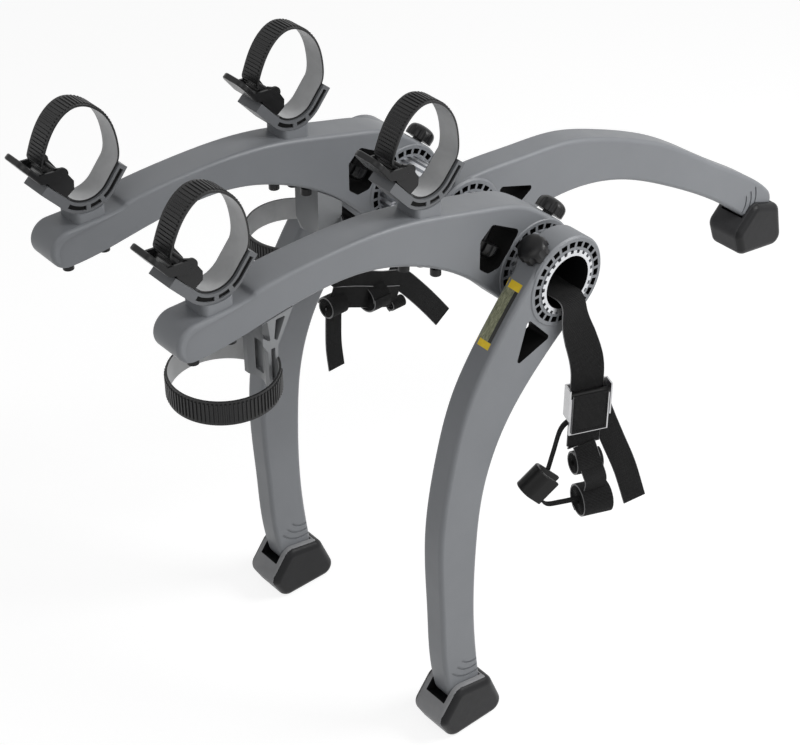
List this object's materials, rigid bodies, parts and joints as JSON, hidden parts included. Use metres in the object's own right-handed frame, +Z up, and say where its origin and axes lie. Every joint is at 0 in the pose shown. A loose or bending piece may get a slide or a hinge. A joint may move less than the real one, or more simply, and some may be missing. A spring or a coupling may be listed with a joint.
{
  "type": "trunk mounted bike rack",
  "caption": "Trunk mounted bike rack with curved legs and arms that turn on a toothed tube and clamp there, cradles with ladder straps and webbing with hooks.",
  "frame": {"origin": "middle of the toothed tube, on its axis", "axes": "+X along the tube to the rack's own right, +Y towards the car, +Z up"},
  "size_m": [0.429, 0.9733, 0.7568],
  "materials": {
    "grey_plastic": "satin moulded",
    "black_plastic": "satin moulded",
    "bright_metal": "drawn",
    "steel": "bright",
    "boot_rubber": "matt",
    "strap_rubber": "ribbed",
    "webbing": "woven",
    "hook_coating": "dipped"
  },
  "bodies": {
    "tube": {"spline_tube": "bright_metal", "webbing_anchor_pins": "steel", "webbing_right": "webbing", "webbing_left": "webbing", "cam_frame_right": "steel", "cam_frame_left": "steel", "cam_pins": "steel", "hook_right": "hook_coating", "hook_left": "hook_coating"},
    "right_lower_leg": {"lower_leg_right": "grey_plastic"},
    "left_lower_leg": {"lower_leg_left": "grey_plastic"},
    "upper_leg": {"upper_leg": "grey_plastic"},
    "right_arm": {"bike_arm_right": "grey_plastic", "arm_screws_right": "black_plastic", "cradle_inserts_right": "black_plastic", "buckle_pins_right": "black_plastic", "sway_bracket_right": "grey_plastic", "sway_strap_right": "strap_rubber", "cradle_right_front": "grey_plastic", "ladder_strap_right_front": "strap_rubber", "ratchet_buckle_right_front": "black_plastic", "cradle_right_back": "grey_plastic", "ladder_strap_right_back": "strap_rubber", "ratchet_buckle_right_back": "black_plastic"},
    "left_arm": {"bike_arm_left": "grey_plastic", "arm_screws_left": "black_plastic", "cradle_inserts_left": "black_plastic", "buckle_pins_left": "black_plastic", "sway_bracket_left": "grey_plastic", "sway_strap_left": "strap_rubber", "cradle_left_front": "grey_plastic", "ladder_strap_left_front": "strap_rubber", "ratchet_buckle_left_front": "black_plastic", "cradle_left_back": "grey_plastic", "ladder_strap_left_back": "strap_rubber", "ratchet_buckle_left_back": "black_plastic"},
    "lower_right_foot": {"foot_lower_right": "boot_rubber", "foot_pin_lower_right": "steel"},
    "lower_left_foot": {"foot_lower_left": "boot_rubber", "foot_pin_lower_left": "steel"},
    "upper_foot": {"foot_upper": "boot_rubber", "foot_pin_upper": "steel"},
    "lower_right_clamp_knob": {"clamp_knob_lower_right": "black_plastic"},
    "lower_right_clamp_shoe": {"clamp_shoe_lower_right": "steel"},
    "lower_left_clamp_knob": {"clamp_knob_lower_left": "black_plastic"},
    "lower_left_clamp_shoe": {"clamp_shoe_lower_left": "steel"},
    "upper_clamp_knob": {"clamp_knob_upper": "black_plastic"},
    "upper_clamp_shoe": {"clamp_shoe_upper": "steel"},
    "arm_right_clamp_knob": {"clamp_knob_arm_right": "black_plastic"},
    "arm_right_clamp_shoe": {"clamp_shoe_arm_right": "steel"},
    "arm_left_clamp_knob": {"clamp_knob_arm_left": "black_plastic"},
    "arm_left_clamp_shoe": {"clamp_shoe_arm_left": "steel"},
    "right_front_knob": {"front_knob_right": "black_plastic"},
    "left_front_knob": {"front_knob_left": "black_plastic"},
    "right_front_ratchet_lever": {"ratchet_lever_right_front": "black_plastic"},
    "right_back_ratchet_lever": {"ratchet_lever_right_back": "black_plastic"},
    "left_front_ratchet_lever": {"ratchet_lever_left_front": "black_plastic"},
    "left_back_ratchet_lever": {"ratchet_lever_left_back": "black_plastic"},
    "right_cam_lever": {"cam_lever_right": "steel"},
    "left_cam_lever": {"cam_lever_left": "steel"}
  },
  "joints": [
    {"name": "right_lower_leg_turn", "type": "hinge", "parent": "tube", "child": "right_lower_leg", "pos_m": [0.14935, 0, 0], "axis": [1, 0, 0], "range_deg": [-30, 30]},
    {"name": "left_lower_leg_turn", "type": "hinge", "parent": "tube", "child": "left_lower_leg", "pos_m": [-0.14935, 0, 0], "axis": [1, 0, 0], "range_deg": [0, 45]},
    {"name": "upper_leg_turn", "type": "hinge", "parent": "tube", "child": "upper_leg", "pos_m": [0, 0, 0], "axis": [1, 0, 0], "range_deg": [-30, 30]},
    {"name": "right_arm_turn", "type": "hinge", "parent": "tube", "child": "right_arm", "pos_m": [0.099, 0, 0], "axis": [1, 0, 0], "range_deg": [-30, 15]},
    {"name": "left_arm_turn", "type": "hinge", "parent": "tube", "child": "left_arm", "pos_m": [-0.099, 0, 0], "axis": [1, 0, 0], "range_deg": [-30, 0]},
    {"name": "lower_right_foot_tilt", "type": "hinge", "parent": "right_lower_leg", "child": "lower_right_foot", "pos_m": [0.14935, -0.12078, -0.47385], "axis": [1, 0, 0], "range_deg": [-40, 4]},
    {"name": "lower_left_foot_tilt", "type": "hinge", "parent": "left_lower_leg", "child": "lower_left_foot", "pos_m": [-0.14935, -0.12078, -0.47385], "axis": [1, 0, 0], "range_deg": [-40, 4]},
    {"name": "upper_foot_tilt", "type": "hinge", "parent": "upper_leg", "child": "upper_foot", "pos_m": [0, 0.49172, -0.1722], "axis": [1, 0, 0], "range_deg": [-4, 40]},
    {"name": "lower_right_clamp_knob_turn", "type": "hinge", "parent": "right_lower_leg", "child": "lower_right_clamp_knob", "pos_m": [0.14935, -0.03166, 0.04125], "axis": [0, -0.6088, 0.7934], "range_deg": [0, 720]},
    {"name": "lower_right_clamp_shoe_press", "type": "slide", "parent": "right_lower_leg", "child": "lower_right_clamp_shoe", "axis": [0, 0.6088, -0.7934], "range_m": [0, 0.003]},
    {"name": "lower_left_clamp_knob_turn", "type": "hinge", "parent": "left_lower_leg", "child": "lower_left_clamp_knob", "pos_m": [-0.14935, -0.03166, 0.04125], "axis": [0, -0.6088, 0.7934], "range_deg": [0, 720]},
    {"name": "lower_left_clamp_shoe_press", "type": "slide", "parent": "left_lower_leg", "child": "lower_left_clamp_shoe", "axis": [0, 0.6088, -0.7934], "range_m": [0, 0.003]},
    {"name": "upper_clamp_knob_turn", "type": "hinge", "parent": "upper_leg", "child": "upper_clamp_knob", "pos_m": [0, -0.0199, 0.04804], "axis": [0, -0.3827, 0.9239], "range_deg": [0, 720]},
    {"name": "upper_clamp_shoe_press", "type": "slide", "parent": "upper_leg", "child": "upper_clamp_shoe", "axis": [0, 0.3827, -0.9239], "range_m": [0, 0.003]},
    {"name": "arm_right_clamp_knob_turn", "type": "hinge", "parent": "right_arm", "child": "arm_right_clamp_knob", "pos_m": [0.099, 0.03677, 0.03677], "axis": [0, 0.7071, 0.7071], "range_deg": [0, 720]},
    {"name": "arm_right_clamp_shoe_press", "type": "slide", "parent": "right_arm", "child": "arm_right_clamp_shoe", "axis": [0, -0.7071, -0.7071], "range_m": [0, 0.003]},
    {"name": "arm_left_clamp_knob_turn", "type": "hinge", "parent": "left_arm", "child": "arm_left_clamp_knob", "pos_m": [-0.099, 0.03677, 0.03677], "axis": [0, 0.7071, 0.7071], "range_deg": [0, 720]},
    {"name": "arm_left_clamp_shoe_press", "type": "slide", "parent": "left_arm", "child": "arm_left_clamp_shoe", "axis": [0, -0.7071, -0.7071], "range_m": [0, 0.003]},
    {"name": "right_front_knob_turn", "type": "hinge", "parent": "right_arm", "child": "right_front_knob", "pos_m": [0.099, -0.057, 0.033], "axis": [0, -0.5736, -0.8192], "continuous": true},
    {"name": "left_front_knob_turn", "type": "hinge", "parent": "left_arm", "child": "left_front_knob", "pos_m": [-0.099, -0.057, 0.033], "axis": [0, -0.5736, -0.8192], "continuous": true},
    {"name": "right_front_ratchet_lever_turn", "type": "hinge", "parent": "right_arm", "child": "right_front_ratchet_lever", "pos_m": [0.099, -0.4031, 0.16412], "axis": [1, 0, 0], "range_deg": [-20, 25]},
    {"name": "right_back_ratchet_lever_turn", "type": "hinge", "parent": "right_arm", "child": "right_back_ratchet_lever", "pos_m": [0.099, -0.1631, 0.16412], "axis": [1, 0, 0], "range_deg": [-20, 25]},
    {"name": "left_front_ratchet_lever_turn", "type": "hinge", "parent": "left_arm", "child": "left_front_ratchet_lever", "pos_m": [-0.099, -0.4031, 0.16412], "axis": [1, 0, 0], "range_deg": [-20, 25]},
    {"name": "left_back_ratchet_lever_turn", "type": "hinge", "parent": "left_arm", "child": "left_back_ratchet_lever", "pos_m": [-0.099, -0.1631, 0.16412], "axis": [1, 0, 0], "range_deg": [-20, 25]},
    {"name": "right_cam_lever_turn", "type": "hinge", "parent": "tube", "child": "right_cam_lever", "pos_m": [0.19112, 0.01456, -0.128], "axis": [-0.3746, -0.9272, 0], "range_deg": [0, 80]},
    {"name": "left_cam_lever_turn", "type": "hinge", "parent": "tube", "child": "left_cam_lever", "pos_m": [-0.192, 0.0095, -0.128], "axis": [0, 1, 0], "range_deg": [0, 80]}
  ],
  "couplings": [
    {"joint": "lower_right_clamp_shoe_press", "follows": "lower_right_clamp_knob_turn", "m_per_rad": 0.00023873},
    {"joint": "lower_left_clamp_shoe_press", "follows": "lower_left_clamp_knob_turn", "m_per_rad": 0.00023873},
    {"joint": "upper_clamp_shoe_press", "follows": "upper_clamp_knob_turn", "m_per_rad": 0.00023873},
    {"joint": "arm_right_clamp_shoe_press", "follows": "arm_right_clamp_knob_turn", "m_per_rad": 0.00023873},
    {"joint": "arm_left_clamp_shoe_press", "follows": "arm_left_clamp_knob_turn", "m_per_rad": 0.00023873}
  ]
}
